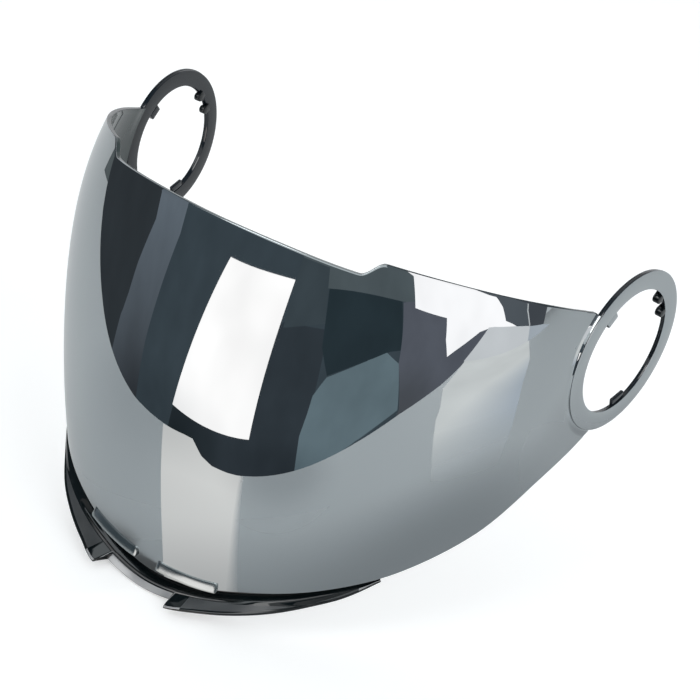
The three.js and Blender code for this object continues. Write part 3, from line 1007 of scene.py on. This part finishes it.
def card_material(name, color, drift=0.08, scale=3, fade=None, clear=None):
    """Unlit card whose tone drifts slowly.

    With fade (centre, start, stop, colour) it changes to a second colour away from a centre; with
    clear (point, start, stop) it is clear near a point."""
    material, tree = unlit_material(name)

    def drifting(shade):
        low = [c * (1 - drift) for c in shade]
        high = [c * (1 + drift) for c in shade]
        return tone(tree, low, high, scale)

    shade = drifting(color)
    if fade:
        centre, start, stop, far_color = fade
        share = spread(tree, distance_to(tree, centre), start, stop, 0, 1)
        shade = mixed_color(tree, share, shade, drifting(far_color))
    glow = tree.nodes.new("ShaderNodeEmission")
    tree.links.new(shade, glow.inputs["Color"])
    result = glow.outputs["Emission"]
    if clear:
        point, start, stop = clear
        share = spread(tree, distance_to(tree, point), start, stop, 0, 1)
        nothing = tree.nodes.new("ShaderNodeBsdfTransparent")
        result = mixed_shader(tree, share, nothing.outputs["BSDF"], result)
    tree.links.new(result, tree.nodes["Material Output"].inputs["Surface"])
    return material


def toward(azimuth, elevation, distance):
    """Point seen from the visor in a direction, azimuth 0 in front and 90 at the wearer's left."""
    a, e = azimuth * DEG, elevation * DEG
    way = Vector((math.sin(a) * math.cos(e), -math.cos(a) * math.cos(e), math.sin(e)))
    return VIEW_POINT + way * distance


def room_wall(name, start, end, bottom, top, color):
    """Part of a round wall between two azimuths and two elevations."""
    bm = bmesh.new()
    rims = []
    for elevation in (bottom, top):
        slant = ROOM_RADIUS / math.cos(elevation * DEG)
        turns = [start + (end - start) * k / ROOM_STEPS for k in range(ROOM_STEPS + 1)]
        verts = [bm.verts.new(toward(azimuth, elevation, slant)) for azimuth in turns]
        rims += [bm.edges.new((verts[k], verts[k + 1])) for k in range(ROOM_STEPS)]
    bmesh.ops.bridge_loops(bm, edges=rims)
    mirror_mesh(name, bm, card_material(name, color))


# Where a card's colour starts and stops changing, as shares of its height.
CARD_FADE_SHARES = (0.1, 0.62)


def room_card(name, distance, color, low_color, directions):
    """Flat card between directions; with a second colour it changes toward its lowest corner."""
    points = [toward(azimuth, elevation, distance) for azimuth, elevation in directions]
    if low_color:
        lowest = min(points, key=lambda point: point.z)
        height = max(point.z for point in points) - lowest.z
        start, stop = [share * height for share in CARD_FADE_SHARES]
        material = card_material(name, low_color, fade=(lowest, start, stop, color))
    else:
        material = card_material(name, color)
    mirror_mesh(name, card(points), material)


# Walls: start and end azimuth, bottom and top elevation, colour.
ROOM_WALLS = (
    ("dark_room", -100, 106, -75, 75, (0.083, 0.108, 0.127)),
    ("pale_sweep", 150, 260, -12, 25, (0.80, 0.82, 0.84)),
    ("pale_sweep_foot", 106, 150, -12, 0.5, (0.80, 0.82, 0.84)),
    ("dark_room_end", 106, 150, 0.5, 75, (0.070, 0.085, 0.095)),
)

# Cards: distance, colour, colour at the foot, corners as azimuth and elevation.
ROOM_CARDS = (
    ("left_dark_card", 2.36, (0.056, 0.064, 0.072), None, (
        (-100, 20), (-55, 20), (-55, -1), (-62, -21), (-75, -30), (-110, -20),
    )),
    ("left_grey_card", 2.30, (0.238, 0.272, 0.315), (0.066, 0.072, 0.082), (
        (-61, 20), (-46, 24), (-43, 2), (-46, -5), (-47, -16), (-49, -30), (-66, -26), (-60, -12),
        (-55, -1),
    )),
    ("left_small_card", 2.28, (0.17, 0.20, 0.22), None, (
        (-72, 8), (-74, 14), (-60, 34), (-56, 30), (-57, 15), (-64, 9),
    )),
    ("front_low_card", 2.34, (0.060, 0.074, 0.088), (0.024, 0.034, 0.038), (
        (-29, -19), (3, -12), (4, -1), (19, -1), (23, -31), (-27, -33), (-32, -27),
    )),
    ("brow_card", 2.32, (0.152, 0.182, 0.195), None, (
        (3.5, 5.6), (16, 5.7), (45, 7.8), (70, 9), (62, 40), (3.5, 40),
    )),
    ("front_block_card", 2.28, (0.088, 0.112, 0.128), None, (
        (3, 10), (14, 10), (17.5, 0), (4, -2),
    )),
    ("deep_card", 2.30, (0.041, 0.062, 0.074), None, (
        (16, 5.7), (45, 7.8), (46, -3), (42, -3.5), (22.5, -9), (18.5, -4),
    )),
    ("blue_card", 2.26, (0.235, 0.310, 0.345), None, (
        (22.5, -9.3), (41, -3.7), (46, -6), (50.5, -17), (36, -24), (21.5, -28), (19, -18.5),
        (20, -12.7),
    )),
    ("brown_card", 2.24, (0.178, 0.186, 0.222), (0.125, 0.130, 0.138), (
        (45.5, 7.7), (52, 9), (65, 8), (84, 6), (84, 1), (76, -6), (66, -20), (50.5, -26), (51, -17),
        (46, -6),
    )),
)

# High pale cards, side by side: azimuths where each starts and ends.
HIGH_CARD_SPANS = ((-45, -10), (-10, 16), (16, 40))
HIGH_CARD_BOTTOM = 17.5
HIGH_CARD_TOP = 58
HIGH_CARD_DISTANCE = 1.7
HIGH_CARD_COLOR = (0.82, 0.86, 0.87)


def make_room():
    """What the mirror shows beyond the table: dark room, grey cards, pale sweep behind."""
    for wall in ROOM_WALLS:
        room_wall(*wall)
    for grey_card in ROOM_CARDS:
        room_card(*grey_card)
    low, high = HIGH_CARD_BOTTOM, HIGH_CARD_TOP
    for number, (start, end) in enumerate(HIGH_CARD_SPANS):
        corners = ((start, low), (end, low), (end, high), (start, high))
        room_card(f"high_card_{number}", HIGH_CARD_DISTANCE, HIGH_CARD_COLOR, None, corners)


# Boards at the wearer's left: places across (y) and up (z).
BOARD_X = 1.0
BOARD_DRIFT = 0.05
BOARD_FOOT = TABLE_LEVEL + 0.0005
BLOCK_TOP = 0.400
PALE_BOARD_EDGE = (
    (-0.355, -0.082), (-0.286, -0.019), (-0.258, 0.015), (-0.221, 0.050), (-0.173, 0.046),
    (-0.093, 0.030), (-0.011, 0.011), (0.116, -0.031),
)
BLOCK_FRONT_EDGE = (
    (-0.089, 0.060), (-0.092, 0.103), (-0.116, 0.141), (-0.150, 0.192), (-0.200, 0.250),
    (-0.230, 0.620),
)
BLOCK_LINE = ((0.062, 0.121), (0.070, 0.060), (0.088, 0.017), (0.110, -0.031))
BLOCK_LINE_WIDTH = 0.008
BLOCK_END_EDGE = (
    (0.240, -0.080), (0.227, -0.047), (0.215, -0.011), (0.200, 0.120), (0.170, BLOCK_TOP),
)

# Boards: how far each stands in front of the first, colour, corners.
SIDE_BOARDS = (
    ("side_softbox_face", 0, (2.06, 1.93, 1.90), (
        (-0.900, 0.620), (-0.907, 0.157), (-0.576, 0.118), (-0.580, 0.003), (-0.553, -0.087),
        (-0.489, -0.055), (-0.386, -0.006), (-0.292, 0.035), (-0.222, 0.045), (-0.011, 0.004),
        (0.031, -0.012), (-0.030, 0.028), *BLOCK_FRONT_EDGE,
    )),
    ("side_board_pale", 0.002, (1.14, 1.12, 1.13), (
        (-0.400, BOARD_FOOT), *PALE_BOARD_EDGE, (0.130, BOARD_FOOT),
    )),
    ("side_board_blue", 0.002, (0.73, 0.77, 0.83), (
        PALE_BOARD_EDGE[-1], BLOCK_END_EDGE[0], (0.300, BOARD_FOOT), (0.130, BOARD_FOOT),
    )),
    ("side_block_front", 0.004, (0.161, 0.178, 0.199), (
        *reversed(BLOCK_FRONT_EDGE), (-0.048, 0.042), (-0.005, 0.015), *reversed(BLOCK_LINE),
        (0.050, BLOCK_TOP),
    )),
    ("side_block_end", 0.004, (0.110, 0.119, 0.136), (
        (0.050, BLOCK_TOP), *BLOCK_LINE, *BLOCK_END_EDGE,
    )),
    ("side_block_edge", 0.006, (0.95, 0.95, 0.95), (
        *BLOCK_LINE, *[(y + BLOCK_LINE_WIDTH, z) for y, z in reversed(BLOCK_LINE)],
    )),
)


def make_side_boards():
    """The softbox, pale board and grey block that the mirror shows at the wearer's left."""
    for name, forward, color, corners in SIDE_BOARDS:
        points = [(BOARD_X - forward, y, z) for y, z in corners]
        mirror_mesh(name, card(points), card_material(name, color, drift=BOARD_DRIFT))


# Stretches of the table that differ in the mirror: corners as x and y.
GLEAM_LEVEL = TABLE_LEVEL + 0.0008
CORNER_SHADE = ((-0.690, -0.030), (-0.733, -0.112), (-1.200, 0.000), (-0.870, -0.020))
FRONT_GLEAM_SPAN = (-0.06, 0.03)
FRONT_GLEAM = (
    (-0.084, -0.259), *[corner for corner in TABLE_FRONT if within(FRONT_GLEAM_SPAN, corner[0])],
    (0.041, -0.2475), (0.041, -0.115), (0.013, -0.118),
)
SIDE_GLEAM = (
    (0.190, -0.104), (0.263, -0.154), (0.320, -0.190), (0.370, -0.212), (0.416, -0.238),
    (0.500, -0.285), (0.995, -0.390), (0.995, 0.140), (0.561, 0.077), (0.400, 0.030),
    (0.260, 0.000), (0.200, -0.020),
)

# How each gleam changes away from a centre, and near which point it is clear. The front one's right
# edge fades over a few millimetres, as measured from a point 2 m beyond it.
FRONT_GLEAM_FADE = ((0.01, -0.12, GLEAM_LEVEL), 0.02, 0.10, (1.40, 1.32, 1.26))
FRONT_GLEAM_CLEAR = ((2.037, -0.18, GLEAM_LEVEL), 1.9965, 2.003)
SIDE_GLEAM_FADE = ((0.30, 0.20, GLEAM_LEVEL), 0.20, 0.36, (1.20, 1.18, 1.15))
SIDE_GLEAM_CLEAR = ((0.06, -0.02, GLEAM_LEVEL), 0.15, 0.26)


def make_table_gleams():
    """Pale stretches that the lamps leave on the table, and its dark far corner."""
    dark = card_material("corner_shade", (0.15, 0.17, 0.175))
    mirror_mesh("corner_shade", flat_board(CORNER_SHADE, GLEAM_LEVEL), dark)
    front = card_material("front_gleam", (1.08, 1.03, 0.99), fade=FRONT_GLEAM_FADE,
                          clear=FRONT_GLEAM_CLEAR)
    mirror_mesh("front_gleam", flat_board(FRONT_GLEAM, GLEAM_LEVEL), front)
    side = card_material("side_gleam", (0.75, 0.80, 0.87), fade=SIDE_GLEAM_FADE,
                         clear=SIDE_GLEAM_CLEAR)
    mirror_mesh("side_gleam", flat_board(SIDE_GLEAM, GLEAM_LEVEL), side)


# Shades on the table: centre x and y, where the fade starts and ends, depth.
SHADES = (
    (0.068, -0.020, 0.080, 0.172, 0.47),
    (-0.120, -0.260, 0.020, 0.160, 0.20),
    (0.085, -0.262, 0.020, 0.090, 0.27),
    (0.150, 0.100, 0.020, 0.100, 0.22),
)
SHADE_LEVEL = TABLE_LEVEL + 0.0012
SHADE_GAP = 0.0003
SHADE_COLOR = (0.16, 0.18, 0.20)
SHADE_SIDES = 64


def contact_shade(number, x, y, start, reach, depth):
    """Soft dark patch on the table, seen only in the mirror, as the visor's own shade."""
    centre = (x, y, SHADE_LEVEL + SHADE_GAP * number)
    bm = bmesh.new()
    bmesh.ops.create_circle(bm, cap_ends=True, segments=SHADE_SIDES, radius=reach)
    bmesh.ops.translate(bm, vec=centre, verts=bm.verts)
    material, tree = unlit_material(f"table_shade_{number}")
    share = spread(tree, distance_to(tree, centre), start, reach, depth, 0, kind="SMOOTHSTEP")
    clear = tree.nodes.new("ShaderNodeBsdfTransparent")
    shade = tree.nodes.new("ShaderNodeBsdfTransparent")
    shade.inputs["Color"].default_value = (*SHADE_COLOR, 1)
    result = mixed_shader(tree, share, clear.outputs["BSDF"], shade.outputs["BSDF"])
    tree.links.new(result, tree.nodes["Material Output"].inputs["Surface"])
    mirror_mesh(f"table_shade_{number}", bm, material)


# Lamps: corners from the top left, clockwise as seen from behind each lamp.
FRONT_SOFTBOX = (
    (-0.470, -1.300, 0.115), (0.080, -1.300, 0.117), (0.050, -0.980, -0.385), (-0.500, -0.980, -0.435),
)
SIDE_SOFTBOX = (
    (0.95, -0.80, 1.75), (1.50, -0.10, 1.75), (1.50, -0.05, 0.07), (1.18, -0.94, 0.16),
)
HIGH_SOFTBOX = tuple(toward(a, e, 1.6) for a, e in ((-42, 62), (0, 62), (0, 34), (-42, 34)))
OVERHEAD = ((-1.3, 1.3, 1.6), (0.5, 1.6, 1.6), (0.7, 0.0, 1.9), (-1.1, -0.3, 1.9))
WORLD_LIGHT = 0.45
WORLD_TO_CAMERA = 1.0


def soft_light(name, corners, radiance, glossy=False):
    """Rectangular soft light fitted to four corners, facing the middle of the scene."""
    top_left, top_right, bottom_right, bottom_left = [Vector(corner) for corner in corners]
    centre = (top_left + top_right + bottom_right + bottom_left) / 4
    across = ((top_right - top_left) + (bottom_right - bottom_left)) / 2
    up = ((top_left - bottom_left) + (top_right - bottom_right)) / 2
    data = bpy.data.lights.new(name, "AREA")
    data.shape = "RECTANGLE"
    data.size = across.length
    data.size_y = up.length
    data.energy = radiance * math.pi * across.length * up.length
    x = across.normalized()
    z = x.cross(up).normalized()
    if z.dot(centre) < 0:
        z = -z
        x = -x
    light = bpy.data.objects.new(name, data)
    turn = Matrix((x, z.cross(x), z)).transposed().to_4x4()
    light.matrix_world = Matrix.Translation(centre) @ turn
    bpy.context.scene.collection.objects.link(light)
    light.visible_camera = False
    light.visible_glossy = glossy


def make_world():
    """White all round: plain white to the camera, weaker as light."""
    world = bpy.data.worlds.new("studio")
    world.use_nodes = True
    tree = world.node_tree
    back = tree.nodes["Background"]
    back.inputs["Color"].default_value = (1, 1, 1, 1)
    path = tree.nodes.new("ShaderNodeLightPath")
    strength = spread(tree, path.outputs["Is Camera Ray"], 0, 1, WORLD_LIGHT, WORLD_TO_CAMERA)
    tree.links.new(strength, back.inputs["Strength"])
    bpy.context.scene.world = world
    bpy.context.scene.view_settings.view_transform = "Standard"


def make_studio():
    paper = paper_material()
    stage_mesh("table", flat_board(TABLE_FRONT + TABLE_BACK, TABLE_LEVEL), paper)
    stage_mesh("ground", flat_board(GROUND, TABLE_LEVEL - GROUND_DROP), paper,
               glossy=False, diffuse=False, shadow=False)
    make_room()
    make_table_gleams()
    make_side_boards()
    for number, shade in enumerate(SHADES):
        contact_shade(number, *shade)
    soft_light("front_softbox", FRONT_SOFTBOX, radiance=4.5)
    soft_light("side_softbox", SIDE_SOFTBOX, radiance=2.4)
    face = card_material("front_softbox_face", (2.16, 2.00, 1.93), drift=0.07, scale=2.5)
    mirror_mesh("front_softbox_face", card(FRONT_SOFTBOX), face)
    soft_light("high_front_softbox", HIGH_SOFTBOX, radiance=3.0, glossy=True)
    soft_light("overhead", OVERHEAD, radiance=1.1)
    make_world()


# The visor

make_camera()
make_studio()

mirror_coat = finish_material(
    "mirror_coat", ((0.425, 0.462, 0.480), (0.450, 0.485, 0.502)), (0.008, 0.022),
    metallic=1.0, tone_scale=9, flow=(28, 0.004))
smoke = finish_material(
    "smoke_polycarbonate", ((0.005, 0.009, 0.014), (0.009, 0.013, 0.018)), (0.05, 0.11),
    ior=1.58, flow=(40, 0.004))
lens_inside = finish_material(
    "lens_inside", ((0.042, 0.058, 0.060), (0.052, 0.068, 0.070)), (0.06, 0.12),
    ior=1.58, flow=(30, 0.006))
# Lighter grey in large random patches: the painted highlight on the lip's edges.
lip_painted_highlight = finish_material(
    "lip_painted_highlight", ((0.18, 0.19, 0.20), (0.50, 0.51, 0.52)), (0.10, 0.20),
    tone_scale=60, flow=(200, 0.005))
bar_gloss = finish_material(
    "bar_gloss", ((0.31, 0.34, 0.345), (0.36, 0.39, 0.395)), (0.13, 0.20),
    metallic=1.0, tone_scale=40, flow=(60, 0.004))
lip_satin = finish_material(
    "lip_satin", ((0.046, 0.051, 0.055), (0.055, 0.060, 0.064)), (0.28, 0.38),
    tone_scale=90, flow=(400, 0.01))
black = finish_material(
    "black_gloss", ((0.002, 0.004, 0.005), (0.004, 0.007, 0.008)), (0.04, 0.10),
    tone_scale=60, flow=(90, 0.004))

finish_piece("lens_moulding", lens_moulding(), [mirror_coat, lens_inside, smoke],
             ["mirror_lens", "ring_step_left", "ring_step_right"], sharp=60)
pair("pivot_ring", ring_body(), [mirror_coat, smoke], ["side_ring"])
bore_pieces(mirror_coat, smoke, black)
lip = finish_piece("chin_lip_shelf", lip_body(), [black, lip_satin, lip_painted_highlight],
                   ["chin_lip"], sharp=40)
lip.visible_glossy = False
for bar in pair("lip_bar", bar_body(), [bar_gloss], ["lip_pad"]):
    bar.visible_glossy = False
